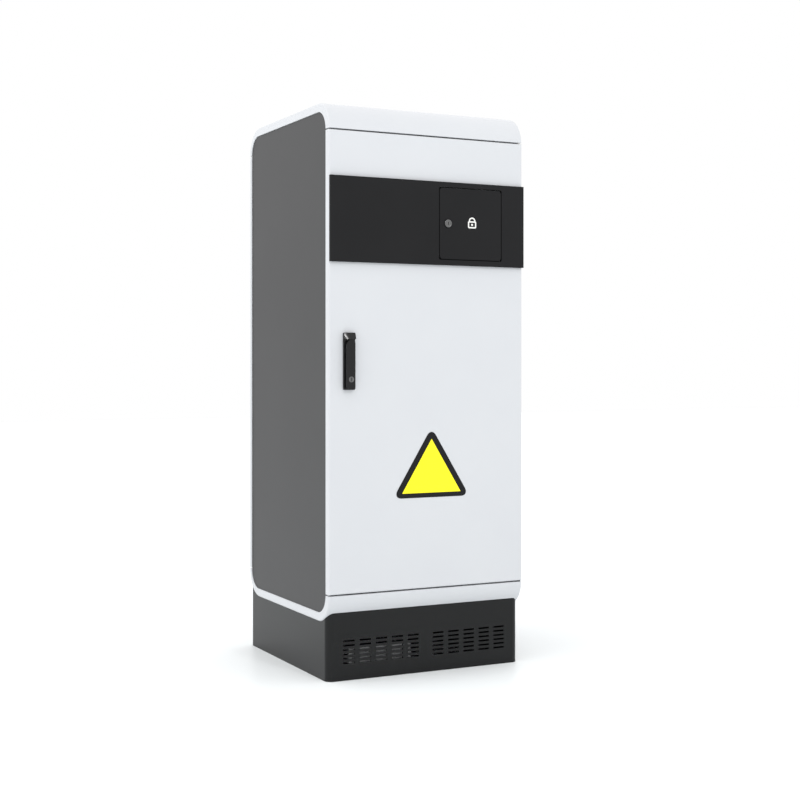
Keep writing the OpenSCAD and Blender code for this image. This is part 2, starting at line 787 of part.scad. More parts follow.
module fan_plate() {
  z_half = fan_size / 2 + 18;
  color([0.78, 0.79, 0.8]) difference() {
    box([-open_x - 8, fan_plate_y, fan_z - z_half], [open_x + 8, fan_plate_y + sheet, lip_z1 + 6]);
    for (x = [-fan_x, fan_x]) difference() {
      for (r = [24, 36, 48]) difference() {
        rod_along_y(x, fan_z, r + 9, fan_plate_y - over, fan_plate_y + sheet + over);
        rod_along_y(x, fan_z, r, fan_plate_y - 2 * over, fan_plate_y + sheet + 2 * over);
      }
      box([x - 2, fan_plate_y - 3, fan_z - fan_size], [x + 2, fan_plate_y + 5, fan_z + fan_size]);
      box([x - fan_size, fan_plate_y - 3, fan_z - 2], [x + fan_size, fan_plate_y + 5, fan_z + 2]);
    }
  }
}

fan_boss_r = 20;
fan_pin_r = 2;

module fan_housings() {
  color([0.13, 0.13, 0.14]) for (x = [-fan_x, fan_x]) {
    difference() {
      push_y(fan_back_y, fan_plate_y) translate([x, fan_z]) round_rect(fan_size, fan_size, 6);
      rod_along_y(x, fan_z, fan_bore_r, fan_back_y - over, fan_plate_y + over);
      for (c = [-1, 1], s = [-1, 1]) rod_along_y(x + c * (fan_size / 2 - 7.5),
        fan_z + s * (fan_size / 2 - 7.5), 2.2,
        fan_back_y - over, fan_plate_y + over);
    }
    rod_along_y(x, fan_z, fan_boss_r, fan_plate_y - 8, fan_plate_y);
    rod_along_y(x, fan_z, fan_pin_r, fan_back_y + 6, fan_plate_y - 7);
    for (a = [45, 135]) translate([x, 0, fan_z]) rotate([0, a, 0])
      box([-fan_bore_r - 1, fan_plate_y - 4, -3], [fan_bore_r + 1, fan_plate_y, 3]);
  }
}

// Stamped finger guards on the fans' inlets: rings on two crossed bars, held at the corners
module fan_guards() {
  guard_t = 1;
  ring_w = 2;
  ring_pitch = 11;
  bar_w = 4;
  tab_r = 5;
  corner = fan_size / 2 - 7.5;
  color("silver") for (x = [-fan_x, fan_x]) push_y(fan_back_y - guard_t, fan_back_y) translate([x, fan_z])
    difference() {
      union() {
        for (r = [ring_pitch : ring_pitch : fan_bore_r]) difference() {
          circle(r);
          circle(r - ring_w);
        }
        for (a = [45, 135]) rotate(a) square([2 * sqrt(2) * corner, bar_w], center = true);
        for (c = [-1, 1], s = [-1, 1]) translate([c * corner, s * corner]) circle(tab_r);
      }
      for (c = [-1, 1], s = [-1, 1]) translate([c * corner, s * corner]) circle(2.2);
    }
}

// Fan rotor: cup-shaped hub with pitched blades
module fan_rotor(x) {
  y0 = fan_back_y + 3;
  y1 = fan_plate_y - 8 - pass;
  blades = 7;
  color([0.13, 0.13, 0.14]) difference() {
    union() {
      rod_along_y(x, fan_z, fan_boss_r, y0, y1);
      intersection() {
        for (k = [0 : blades - 1]) translate([x, (y0 + y1) / 2, fan_z]) rotate([0, k * 360 / blades, 0])
          rotate([0, 0, 38]) translate([-1, -16, 0]) cube([2, 32, fan_bore_r]);
        rod_along_y(x, fan_z, fan_bore_r - 1.5, y0, y1);
      }
    }
    rod_along_y(x, fan_z, fan_pin_r + run, y0 - over, y1 + over);
  }
}

module fan_rotor_left() {
  fan_rotor(-fan_x);
}

module fan_rotor_right() {
  fan_rotor(fan_x);
}

module cabinet_lamp() {
  y0 = frame_y + sheet;
  z = lip_z1 + 16;
  color([0.95, 0.95, 0.93]) {
    box([-160, y0, z - 12], [160, y0 + 6, z + 12]);
    push_x(-150, 150) translate([y0 + 6, z]) intersection() {
      circle(10);
      translate([0, -10]) square([10, 20]);
    }
  }
}

switch_x = -lip_x + 58;
switch_top = lip_z1 - sheet;
plunger_z = switch_top - 14;
plunger_r = 2.5;

module door_switch() {
  color([0.2, 0.2, 0.22]) difference() {
    box([switch_x - 16, lip_y + 6, switch_top - 26], [switch_x + 16, lip_y + 42, switch_top]);
    rod_along_y(switch_x, plunger_z, plunger_r + run, lip_y, lip_y + 50);
  }
}

module switch_plunger() {
  tip = skin_y + pass;
  color([0.85, 0.85, 0.83]) {
    rod_along_y(switch_x, plunger_z, plunger_r, tip + 2, lip_y + 34);
    rod_along_y(switch_x, plunger_z, 5, tip, tip + 4);
  }
}

// Places of the cable glands, two by two
function gland_places() = [for (x = [-1, 1], y = [-1, 1]) [x * 70, y * 50]];

module gland_plate() {
  color([0.75, 0.76, 0.77]) difference() {
    box([-gland_plate_x / 2, -gland_plate_y / 2, floor_z],
      [gland_plate_x / 2, gland_plate_y / 2, floor_z + sheet]);
    for (p = gland_places()) translate([p[0], p[1], floor_z - over])
      cylinder(r = gland_r + fit, h = sheet + 2 * over);
  }
}

module cable_glands() {
  top = floor_z + sheet;
  color([0.25, 0.25, 0.26]) for (p = gland_places()) translate([p[0], p[1], 0]) difference() {
    union() {
      translate([0, 0, top]) cylinder(r = gland_r + 4, h = 8, $fn = 6);
      translate([0, 0, top + 8]) cylinder(r1 = gland_r + 1, r2 = gland_bore_r + 2, h = 14);
      translate([0, 0, floor_z - 16]) cylinder(r = gland_r, h = sheet + 17);
      translate([0, 0, floor_z - 6]) cylinder(r = gland_r + 4, h = 6, $fn = 6);
    }
    translate([0, 0, floor_z - 16 - over]) cylinder(r = gland_bore_r, h = 60);
  }
}

module front_door() {
  color([0.9, 0.91, 0.92]) difference() {
    pan(-half_w, half_w, front_y, door_back_y, door_z0, door_z1, 3);
    push_y(front_y - over, skin_y + over) translate([(cut_x0 + cut_x1) / 2, (cut_z0 + cut_z1) / 2])
      square([cut_x1 - cut_x0, cut_z1 - cut_z0], center = true);
    rod_along_y(handle_x, pivot_z, spindle_d / 2 + 1, front_y - over, skin_y + over);
    translate([hinge_x, hinge_y, 0]) for (z = [door_z0 - over, door_z1 - sheet - over])
      translate([0, 0, z]) cylinder(r = bush_r + fit, h = sheet + 2 * over);
  }
}

module door_gasket() {
  gasket_y1 = lip_y - pass;
  x = lip_x - sheet / 2;
  z0 = lip_z0 + sheet / 2;
  z1 = lip_z1 - sheet / 2;
  color([0.1, 0.1, 0.1]) push_y(skin_y, gasket_y1) translate([0, (z0 + z1) / 2]) difference() {
    square([2 * x + gasket_w, z1 - z0 + gasket_w], center = true);
    square([2 * x - gasket_w, z1 - z0 - gasket_w], center = true);
  }
}

module hinge_bushes() {
  length = 14;
  color([0.72, 0.6, 0.35]) translate([hinge_x, hinge_y, 0]) {
    translate([0, 0, door_z1 - length]) difference() {
      cylinder(r = bush_r, h = length);
      translate([0, 0, -over]) cylinder(d = hinge_pin_d + 2 * run, h = length + 2 * over);
    }
    translate([0, 0, base_edge_z + pass]) difference() {
      union() {
        cylinder(r = bush_r, h = door_z0 + length - base_edge_z - pass);
        cylinder(r = bush_r + 1.4, h = door_z0 - base_edge_z - pass);
      }
      translate([0, 0, -over]) cylinder(d = hinge_pin_d + 2 * run, h = length + door_gap + 2 * over);
    }
  }
}

// Outline of the flap grown by a gap, with its own corner radius
module flap_outline(grow, r) {
  translate([flap_x, flap_z]) round_rect(flap_w + 2 * grow, flap_h + 2 * grow, r);
}

module band_cover() {
  r = 1.5;
  d = band_t;
  color([0.18, 0.18, 0.18]) difference() {
    union() {
      difference() {
        translate([0, front_y - d / 2, flap_z]) intersection() {
          linear_extrude(band_h, center = true) translate([0, d / 2]) round_rect(cab_w, 2 * d, r);
          rotate([90, 0, 90]) linear_extrude(cab_w, center = true) translate([d / 2, 0])
            round_rect(2 * d, band_h, r);
          cube([cab_w, d, band_h], center = true);
        }
        box([-half_w + band_wall, band_y + band_wall, band_z0 + band_wall],
          [half_w - band_wall, front_y + over, band_z1 - band_wall]);
      }
      push_y(band_y + band_wall / 2, front_y) flap_outline(flap_gap + band_wall, flap_r / 2 + band_wall);
    }
    push_y(band_y - over, front_y + over) flap_outline(flap_gap, flap_r / 2);
    translate([flap_axis_x, flap_axis_y, flap_z0 - flap_gap - band_wall - over])
      cylinder(r = flap_pin_r + run, h = flap_h + 2 * (flap_gap + band_wall + over));
  }
}

// Places of the push-buttons on the control plate
function button_x(k) = flap_x + (k - 1) * button_pitch;

module control_tray() {
  x1 = cut_x1 + 2;
  z0 = cut_z0 - 2;
  z1 = cut_z1 + 2;
  rim = 10;
  color([0.7, 0.71, 0.72]) difference() {
    union() {
      box([tray_x0 - sheet, skin_y, z0 - sheet], [x1 + sheet, tray_y, z1 + sheet]);
      box([tray_x0 - rim, skin_y, z0 - rim], [x1 + rim, skin_y + sheet, z1 + rim]);
    }
    box([tray_x0, skin_y - over, z0], [x1, tray_y - sheet, z1]);
    for (k = [0 : 2]) rod_along_y(button_x(k), button_z, stem_r + run, tray_y - sheet - over, tray_y + over);
    rod_along_y(flap_x, selector_z, stem_r + run, tray_y - sheet - over, tray_y + over);
  }
}

// Push-button: crowned cap in front of the plate, stem through it and a retaining collar behind
module push_button(k, tone) {
  face = tray_y - sheet;
  travel = 4;
  color(tone) translate([button_x(k), 0, button_z]) rotate([-90, 0, 0]) rotate_extrude() polygon([
    [0, face - travel - 6.5], [button_r - 2.5, face - travel - 6.2], [button_r - 0.6, face - travel - 5.4],
    [button_r, face - travel - 4], [button_r, face - travel - pass], [stem_r, face - travel - pass],
    [stem_r, tray_y + pass], [stem_r + 2, tray_y + pass], [stem_r + 2, tray_y + 3], [0, tray_y + 3]]);
}

module step_button() {
  push_button(0, [0.12, 0.5, 0.22]);
}

module hold_button() {
  push_button(1, [0.85, 0.65, 0.1]);
}

module clear_button() {
  push_button(2, [0.7, 0.12, 0.1]);
}

module mode_selector() {
  face = tray_y - sheet;
  color([0.14, 0.14, 0.15]) {
    rod_along_y(flap_x, selector_z, stem_r, face - 3, tray_y + pass);
    rod_along_y(flap_x, selector_z, 14, face - 6, face - pass);
    rod_along_y(flap_x, selector_z, stem_r + 2, tray_y + pass, tray_y + 3);
    box([flap_x - 4, face - 18, selector_z - 15], [flap_x + 4, face - 5, selector_z + 15]);
  }
}

// Handle base: thin plate behind the lever, and above it a pad that falls away as a cone from the pivot
module handle_base() {
  pad_gap = 1.8;
  crown = 13.5;
  fall = 0.34;
  pad_r = lever_w / 2 + pad_gap;
  outline_r = 2.5;
  color([0.14, 0.14, 0.145]) difference() {
    union() {
      push_y(base_y, front_y) translate([handle_x, handle_z]) round_rect(handle_w, handle_h, outline_r);
      intersection() {
        push_y(front_y - crown, front_y) translate([handle_x, handle_z])
          round_rect(handle_w, handle_h, outline_r);
        box([handle_x - handle_w, front_y - crown, pivot_z + pad_r],
          [handle_x + handle_w, front_y, handle_z1]);
        translate([handle_x, front_y, pivot_z]) rotate([90, 0, 0])
          cylinder(r1 = pad_r + crown / fall, r2 = pad_r, h = crown);
      }
    }
    rod_along_y(handle_x, pivot_z, spindle_d / 2 + run, base_y - over, front_y + over);
  }
}

// Guide for a latch rod: a loop round the bar on one leg that is fixed to the door's skin
module rod_guide(x, y, z) {
  wall = 2;
  half_h = 10;
  inner = rod_w / 2 + pass;
  back = y + rod_t + pass;
  difference() {
    union() {
      box([x - inner - wall, y - pass - wall, z - half_h], [x + inner + wall, back + wall, z + half_h]);
      box([x + inner, skin_y, z - half_h], [x + inner + wall, back + wall, z + half_h]);
    }
    box([x - inner, y - pass, z - half_h - over], [x + inner, back, z + half_h + over]);
  }
}

module rod_guides() {
  from_handle = shell_h * 0.15;
  from_edge = 90;
  color([0.7, 0.71, 0.72]) {
    for (z = [handle_z + from_handle, door_z1 - from_edge]) rod_guide(upper_rod_x, upper_rod_y, z);
    for (z = [handle_z - from_handle, door_z0 + from_edge]) rod_guide(lower_rod_x, lower_rod_y, z);
  }
}

module document_pocket() {
  w = 240;
  h = 210;
  z = door_z0 + 190;
  d = 26;
  wall = 2;
  color([0.6, 0.61, 0.62]) difference() {
    box([-w / 2, skin_y, z], [w / 2, skin_y + d, z + h]);
    box([-w / 2 + wall, skin_y + wall, z + wall], [w / 2 - wall, skin_y + d - wall, z + h + over]);
    box([-w / 2 + 50, skin_y + d - wall - over, z + h - 50], [w / 2 - 50, skin_y + d + over, z + h + over]);
  }
}

module control_flap() {
  boss_r = 3;
  boss_l = 16;
  color([0.18, 0.18, 0.18]) difference() {
    union() {
      push_y(band_y, band_y + band_wall) flap_outline(0, flap_r);
      translate([flap_axis_x, flap_axis_y, 0]) {
        for (z = [flap_z0 + 3, flap_z1 - 3 - boss_l]) translate([0, 0, z]) cylinder(r = boss_r, h = boss_l);
        for (z = [flap_z0 - flap_gap - band_wall, flap_z1 - 4]) translate([0, 0, z])
          cylinder(r = flap_pin_r, h = 4 + flap_gap + band_wall);
      }
    }
    rod_along_y(lock_x, flap_z, lock_barrel_r + fit, band_y - over, band_y + band_wall + over);
  }
}

module lock_barrel() {
  color("silver") difference() {
    union() {
      rod_along_y(lock_x, flap_z, lock_d / 2, band_y - 2.5, band_y);
      rod_along_y(lock_x, flap_z, lock_barrel_r, band_y - 1, cam_y - pass);
      rod_along_y(lock_x, flap_z, lock_d / 2, band_y + band_wall, band_y + band_wall + 3);
    }
    rod_along_y(lock_x, flap_z, lock_plug_r + run, band_y - 2.5 - over, cam_y + over);
  }
}

module lock_plug() {
  reach = 23;
  color("silver") difference() {
    union() {
      rod_along_y(lock_x, flap_z, lock_plug_r, band_y - 2.5, cam_y + 2.5);
      box([lock_x - 7, cam_y, flap_z - reach], [lock_x + 7, cam_y + 2.5, flap_z + 7]);
    }
    box([lock_x - 0.8, band_y - 2.5 - over, flap_z - 3.5], [lock_x + 0.8, band_y + 1, flap_z + 3.5]);
  }
}

module handle_hub() {
  tongue_w = 8;
  tongue_r = 3;
  color("silver") {
    rod_along_y(handle_x, pivot_z, spindle_d / 2, base_y - pass / 2, disc_y + disc_t);
    rod_along_x(pivot_y, pivot_z, tongue_r, handle_x - tongue_w / 2, handle_x + tongue_w / 2);
    box([handle_x - tongue_w / 2, pivot_y, pivot_z - tongue_r],
      [handle_x + tongue_w / 2, base_y, pivot_z + tongue_r]);
    rod_along_x(pivot_y, pivot_z, pivot_pin_r, handle_x - 8, handle_x + 8);
    rod_along_y(handle_x, pivot_z, disc_r, disc_y, disc_y + disc_t);
    rod_along_y(handle_x - crank_r, pivot_z, crank_pin_r, disc_y + disc_t - 1, upper_rod_y + rod_t);
    rod_along_y(handle_x + crank_r, pivot_z, crank_pin_r, disc_y + disc_t - 1, lower_rod_y + rod_t);
  }
}

module handle_lever() {
  r = lever_w / 2;
  edge = 2;
  length = pivot_z - lever_z0;
  color([0.15, 0.15, 0.155]) difference() {
    intersection() {
      push_y(lever_y, lever_back_y) translate([handle_x, pivot_z]) {
        circle(r);
        translate([-r, -length]) square([lever_w, length]);
      }
      translate([handle_x, lever_back_y, lever_z0 - over]) linear_extrude(length + r + 2 * over)
        round_rect(lever_w, 2 * lever_t, edge);
    }
    box([handle_x - 4 - pass, pivot_y - 3.4, pivot_z - 8], [handle_x + 4 + pass, base_y, pivot_z + 8]);
    rod_along_x(pivot_y, pivot_z, pivot_pin_r + run, handle_x - 8.2, handle_x + 8.2);
    translate([handle_x - r - over, lever_back_y, pivot_z]) rotate([27, 0, 0])
      cube([lever_w + 2 * over, 20, 30]);
    rod_along_y(handle_x, key_z, key_d / 2 + run, lever_y - over, lever_back_y + over);
  }
}

module key_plug() {
  color([0.62, 0.62, 0.62]) difference() {
    rod_along_y(handle_x, key_z, key_d / 2, lever_y - 0.6, lever_back_y - 0.2);
    box([handle_x - 1.6, lever_y - 0.6 - over, key_z - 4], [handle_x + 1.6, lever_y + 3, key_z + 4]);
  }
}

// Latch rod: flat bar with a slotted end that a crank pin on the handle's disc drives
module latch_rod(side, bar_x, y) {
  slack = 3.6;
  wall = 3;
  crank_x = handle_x - side * crank_r;
  end_z = side > 0 ? lip_z1 - sheet - 4 : lip_z0 + sheet + 4;
  slot_x0 = min(crank_x, handle_x) - crank_pin_r - pass;
  slot_x1 = max(crank_x, handle_x) + crank_pin_r + pass;
  slot_half = crank_pin_r + slack;
  bar_z = pivot_z + side * slot_half;
  color([0.72, 0.73, 0.74]) difference() {
    union() {
      box([slot_x0 - wall, y, pivot_z - yoke_h / 2], [slot_x1 + wall, y + rod_t, pivot_z + yoke_h / 2]);
      box([bar_x - rod_w / 2, y, min(end_z, bar_z)], [bar_x + rod_w / 2, y + rod_t, max(end_z, bar_z)]);
    }
    box([slot_x0, y - over, pivot_z - slot_half], [slot_x1, y + rod_t + over, pivot_z + slot_half]);
  }
}

module upper_rod() {
  latch_rod(1, upper_rod_x, upper_rod_y);
}

module lower_rod() {
  latch_rod(-1, lower_rod_x, lower_rod_y);
}

plinth();
plinth_bolts();
intake_filter();
base_tray();
roof_cap();
left_side_panel();
right_side_panel();
rear_panel();
rear_screws();
front_frame();
rear_frame();
hinge_pins();
uprights();
chassis();
power_module();
processor_module();
io_modules();
lamp_modules();
mounting_plate();
din_rails();
main_breaker();
branch_breakers();
surge_arrester();
service_socket();
terminal_strips();
earth_bar();
wiring_ducts();
fan_plate();
fan_housings();
fan_guards();
cabinet_lamp();
door_switch();
gland_plate();
cable_glands();
front_door();
door_gasket();
hinge_bushes();
band_cover();
control_tray();
handle_base();
rod_guides();
document_pocket();
control_flap();
lock_barrel();
lock_plug();
handle_hub();
handle_lever();
key_plug();
upper_rod();
lower_rod();
step_button();
hold_button();
clear_button();
mode_selector();
main_toggle();
branch_toggle_1();
branch_toggle_2();
fan_rotor_left();
fan_rotor_right();
switch_plunger();
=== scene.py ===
import json
from math import cos, pi, radians, sin

import bmesh
import bpy
from mathutils import Matrix, Vector


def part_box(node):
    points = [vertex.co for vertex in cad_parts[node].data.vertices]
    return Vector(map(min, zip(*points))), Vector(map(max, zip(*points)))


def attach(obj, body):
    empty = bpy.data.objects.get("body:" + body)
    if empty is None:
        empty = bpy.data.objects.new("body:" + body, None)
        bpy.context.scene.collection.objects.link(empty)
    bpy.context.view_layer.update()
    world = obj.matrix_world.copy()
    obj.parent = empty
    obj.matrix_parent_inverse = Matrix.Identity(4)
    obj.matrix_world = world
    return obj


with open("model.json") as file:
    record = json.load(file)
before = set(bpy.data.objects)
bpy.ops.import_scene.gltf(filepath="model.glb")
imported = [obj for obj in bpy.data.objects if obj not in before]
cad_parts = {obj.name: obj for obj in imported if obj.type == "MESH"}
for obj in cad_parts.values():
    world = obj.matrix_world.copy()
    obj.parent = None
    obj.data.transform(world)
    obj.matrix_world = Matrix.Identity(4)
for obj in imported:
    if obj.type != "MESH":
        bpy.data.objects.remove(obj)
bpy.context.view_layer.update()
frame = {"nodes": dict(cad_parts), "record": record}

nodes = frame["nodes"]
# Sizes of pieces and patterns are in millimetres, and Blender's unit is the metre
MM = 0.001


# Colours and shader nodes

def tone(hex_colour):
    """An sRGB hex value as a linear colour with full alpha."""
    channels = [int(hex_colour[i:i + 2], 16) / 255 for i in (0, 2, 4)]
    linear = [c / 12.92 if c <= 0.04045 else ((c + 0.055) / 1.055) ** 2.4 for c in channels]
    return (*linear, 1.0)


def per_metre(millimetres):
    """Texture scale at which one feature of a pattern is that long."""
    return 1 / (millimetres * MM)


def add(tree, kind, inputs=None):
    """Adds a shader node with its links and settings: an input takes a socket or a plain value."""
    made = tree.nodes.new(kind)
    for name, value in (inputs or {}).items():
        if isinstance(value, bpy.types.NodeSocket):
            tree.links.new(value, made.inputs[name])
        else:
            made.inputs[name].default_value = value
    return made


def begin(name, **sockets):
    """A new material: its tree, its shader with constants set, and the Object coordinates."""
    made = bpy.data.materials.new(name)
    made.use_nodes = True
    tree = made.node_tree
    shader = tree.nodes["Principled BSDF"]
    for socket, value in sockets.items():
        shader.inputs[socket.replace("_", " ")].default_value = value
    where = add(tree, "ShaderNodeTexCoord").outputs["Object"]
    return made, tree, shader, where


def powder_coat(name, colour, shade, roughness, peel_mm, peel_depth_mm, specular=0.5):
    """Polyester powder baked on sheet steel: an even colour with a soft orange-peel ripple in the gloss."""
    made, tree, shader, where = begin(name, Roughness=roughness, IOR=1.5, Specular_IOR_Level=specular)
    drift = add(tree, "ShaderNodeTexNoise", {"Vector": where, "Scale": per_metre(140), "Detail": 2.0})
    mixed = add(tree, "ShaderNodeMixRGB",
                {"Fac": drift.outputs["Fac"], "Color1": tone(colour), "Color2": tone(shade)})
    peel = add(tree, "ShaderNodeTexNoise", {"Vector": where, "Scale": per_metre(peel_mm), "Detail": 3.0})
    ripple = add(tree, "ShaderNodeBump",
                 {"Height": peel.outputs["Fac"], "Strength": 0.35, "Distance": peel_depth_mm * MM})
    tree.links.new(mixed.outputs["Color"], shader.inputs["Base Color"])
    tree.links.new(ripple.outputs["Normal"], shader.inputs["Normal"])
    return made


def moulded(name, colour, shade, roughness, grain_mm, grain_depth_mm, specular=0.5):
    """Injection-moulded plastic: a spark-eroded grain breaks up the gloss, and the colour is nearly even.

    The grain is drawn coarser than life, or it would not show.
    """
    made, tree, shader, where = begin(name, IOR=1.49, Specular_IOR_Level=specular)
    flow = add(tree, "ShaderNodeTexNoise", {"Vector": where, "Scale": per_metre(30), "Detail": 2.0})
    mixed = add(tree, "ShaderNodeMixRGB",
                {"Fac": flow.outputs["Fac"], "Color1": tone(colour), "Color2": tone(shade)})
    grain = add(tree, "ShaderNodeTexNoise", {"Vector": where, "Scale": per_metre(grain_mm), "Detail": 4.0})
    gloss = add(tree, "ShaderNodeMapRange",
                {"Value": grain.outputs["Fac"], "From Min": 0.3, "From Max": 0.7,
                 "To Min": roughness - 0.06, "To Max": roughness + 0.06})
    pits = add(tree, "ShaderNodeBump",
               {"Height": grain.outputs["Fac"], "Strength": 0.4, "Distance": grain_depth_mm * MM})
    tree.links.new(mixed.outputs["Color"], shader.inputs["Base Color"])
    tree.links.new(gloss.outputs["Result"], shader.inputs["Roughness"])
    tree.links.new(pits.outputs["Normal"], shader.inputs["Normal"])
    return made


def zinc_plated_sheet():
    """Bright zinc on cold-rolled sheet: blue-grey, with faint crystals that catch the light in patches."""
    made, tree, shader, where = begin("zinc_plated_sheet", Metallic=1.0)
    crystal = add(tree, "ShaderNodeTexVoronoi", {"Vector": where, "Scale": per_metre(9)})
    mixed = add(tree, "ShaderNodeMixRGB",
                {"Fac": crystal.outputs["Color"], "Color1": tone("B9BDC0"), "Color2": tone("C9CCCE")})
    cloud = add(tree, "ShaderNodeTexNoise", {"Vector": where, "Scale": per_metre(24), "Detail": 3.0})
    gloss = add(tree, "ShaderNodeMapRange", {"Value": cloud.outputs["Fac"], "To Min": 0.3, "To Max": 0.5})
    tree.links.new(mixed.outputs["Color"], shader.inputs["Base Color"])
    tree.links.new(gloss.outputs["Result"], shader.inputs["Roughness"])
    return made


def turned_metal(name, dark, light):
    """Plated turned metal: a smeared sheen where the tool's marks, drawn coarse, spread the highlight."""
    made, tree, shader, where = begin(name, Metallic=1.0)
    smear = add(tree, "ShaderNodeTexNoise", {"Vector": where, "Scale": per_metre(6), "Detail": 4.0})
    mixed = add(tree, "ShaderNodeMixRGB",
                {"Fac": smear.outputs["Fac"], "Color1": tone(dark), "Color2": tone(light)})
    gloss = add(tree, "ShaderNodeMapRange", {"Value": smear.outputs["Fac"], "To Min": 0.2, "To Max": 0.42})
    tree.links.new(mixed.outputs["Color"], shader.inputs["Base Color"])
    tree.links.new(gloss.outputs["Result"], shader.inputs["Roughness"])
    return made


def anodised_front():
    """Clear-anodised aluminium front plates: pale, satin, brushed upright before the dip.

    The brush lines are drawn coarser than life, or they would not show.
    """
    made, tree, shader, where = begin("anodised_aluminium", Metallic=0.85)
    stretched = add(tree, "ShaderNodeMapping", {"Vector": where, "Scale": (1.0, 1.0, 0.02)})
    brush = add(tree, "ShaderNodeTexNoise",
                {"Vector": stretched.outputs["Vector"], "Scale": per_metre(0.9), "Detail": 3.0})
    mixed = add(tree, "ShaderNodeMixRGB",
                {"Fac": brush.outputs["Fac"], "Color1": tone("C6C8CA"), "Color2": tone("DADBDC")})
    gloss = add(tree, "ShaderNodeMapRange",
                {"Value": brush.outputs["Fac"], "To Min": 0.36, "To Max": 0.52})
    tree.links.new(mixed.outputs["Color"], shader.inputs["Base Color"])
    tree.links.new(gloss.outputs["Result"], shader.inputs["Roughness"])
    return made


def foam_seal():
    """Foamed-in-place polyurethane: black and dull, with the cells of its skin drawn coarse."""
    made, tree, shader, where = begin("foamed_polyurethane", Roughness=0.85, IOR=1.46)
    cells = add(tree, "ShaderNodeTexVoronoi", {"Vector": where, "Scale": per_metre(1.6)})
    mixed = add(tree, "ShaderNodeMixRGB",
                {"Fac": cells.outputs["Distance"], "Color1": tone("232426"), "Color2": tone("343537")})
    dents = add(tree, "ShaderNodeBump",
                {"Height": cells.outputs["Distance"], "Strength": 0.5, "Distance": 0.3 * MM})
    tree.links.new(mixed.outputs["Color"], shader.inputs["Base Color"])
    tree.links.new(dents.outputs["Normal"], shader.inputs["Normal"])
    return made


def drawn_brass():
    """Drawn brass bar: warm yellow, lightly tarnished in clouds."""
    made, tree, shader, where = begin("drawn_brass", Metallic=1.0)
    tarnish = add(tree, "ShaderNodeTexNoise", {"Vector": where, "Scale": per_metre(12), "Detail": 4.0})
    mixed = add(tree, "ShaderNodeMixRGB",
                {"Fac": tarnish.outputs["Fac"], "Color1": tone("C9A552"), "Color2": tone("A8843C")})
    gloss = add(tree, "ShaderNodeMapRange",
                {"Value": tarnish.outputs["Fac"], "To Min": 0.25, "To Max": 0.45})
    tree.links.new(mixed.outputs["Color"], shader.inputs["Base Color"])
    tree.links.new(gloss.outputs["Result"], shader.inputs["Roughness"])
    return made


def filter_fleece():
    """Needled polyester fleece: grey fibres, fully matt, lumpy at the scale of the needling."""
    made, tree, shader, where = begin("polyester_fleece", Roughness=0.95, IOR=1.45)
    fibre = add(tree, "ShaderNodeTexNoise", {"Vector": where, "Scale": per_metre(1.5), "Detail": 3.0})
    mixed = add(tree, "ShaderNodeMixRGB",
                {"Fac": fibre.outputs["Fac"], "Color1": tone("A6A7A8"), "Color2": tone("B6B7B7")})
    loft = add(tree, "ShaderNodeBump",
               {"Height": fibre.outputs["Fac"], "Strength": 0.4, "Distance": 0.4 * MM})
    tree.links.new(mixed.outputs["Color"], shader.inputs["Base Color"])
    tree.links.new(loft.outputs["Normal"], shader.inputs["Normal"])
    return made


finishes = {
    # smooth white coat of the shell and door, a little blue
    "white_paint": powder_coat("white_powder_coat", "D0D2D5", "CCCED2",
                               roughness=0.38, peel_mm=2.2, peel_depth_mm=0.05, specular=0.35),
    # slate-grey coat of the side panels, satin
    "grey_paint": powder_coat("slate_powder_coat", "3B3B3C", "373738",
                              roughness=0.48, peel_mm=1.6, peel_depth_mm=0.08, specular=0.4),
    # near-black fine-structure coat of the plinth, with a low sheen
    "black_paint": powder_coat("plinth_powder_coat", "121314", "0E0F10",
                               roughness=0.3, peel_mm=1.4, peel_depth_mm=0.05, specular=0.25),
    # black coat of the band and its flap, dull all over
    "band_black": powder_coat("band_powder_coat", "272728", "232324",
                              roughness=0.6, peel_mm=1.2, peel_depth_mm=0.06, specular=0.04),
    # glass-filled polyamide of the handle, smooth enough for a small sharp highlight
    "handle_black": moulded("glass_filled_polyamide", "141415", "111112",
                            roughness=0.16, grain_mm=0.8, grain_depth_mm=0.005, specular=0.32),
    "zinc_plate": zinc_plated_sheet(),
    # bright nickel on screws, pins and fan guards, a warm light grey
    "steel": turned_metal("nickel_plated_steel", "A9A8A5", "C4C3C0"),
    "module_panel": anodised_front(),
    # pressed urea of breakers and the service socket, cream and faintly glossy
    "ivory_plastic": moulded("ivory_urea", "E4E2D9", "DCDACF",
                             roughness=0.4, grain_mm=1.0, grain_depth_mm=0.03),
    # polycarbonate of buttons, lenses and the surge arrester, full colours with a soft shine
    "red_plastic": moulded("red_polycarbonate", "B3271F", "A5201A",
                           roughness=0.35, grain_mm=1.0, grain_depth_mm=0.03),
    "green_plastic": moulded("green_polycarbonate", "23803F", "1E7338",
                             roughness=0.35, grain_mm=1.0, grain_depth_mm=0.03),
    "amber_plastic": moulded("amber_polycarbonate", "DFA01A", "D59514",
                             roughness=0.35, grain_mm=1.0, grain_depth_mm=0.03),
    # PVC of ducts, terminal strips and keys, a flat middle grey
    "grey_plastic": moulded("grey_pvc", "A0A4A6", "969A9C",
                            roughness=0.45, grain_mm=1.2, grain_depth_mm=0.03),
    # ABS of fans, glands, toggles and knobs, black with a grey bloom
    "black_plastic": moulded("black_abs", "2B2B2D", "242426",
                             roughness=0.42, grain_mm=1.0, grain_depth_mm=0.04),
    # polycarbonate of the lamp cover and the white film, clean and slightly glossy
    "white_plastic": moulded("white_polycarbonate", "EDEDEA", "E6E6E2",
                             roughness=0.35, grain_mm=1.0, grain_depth_mm=0.02),
    "gasket": foam_seal(),
    "brass": drawn_brass(),
    "filter_mat": filter_fleece(),
}
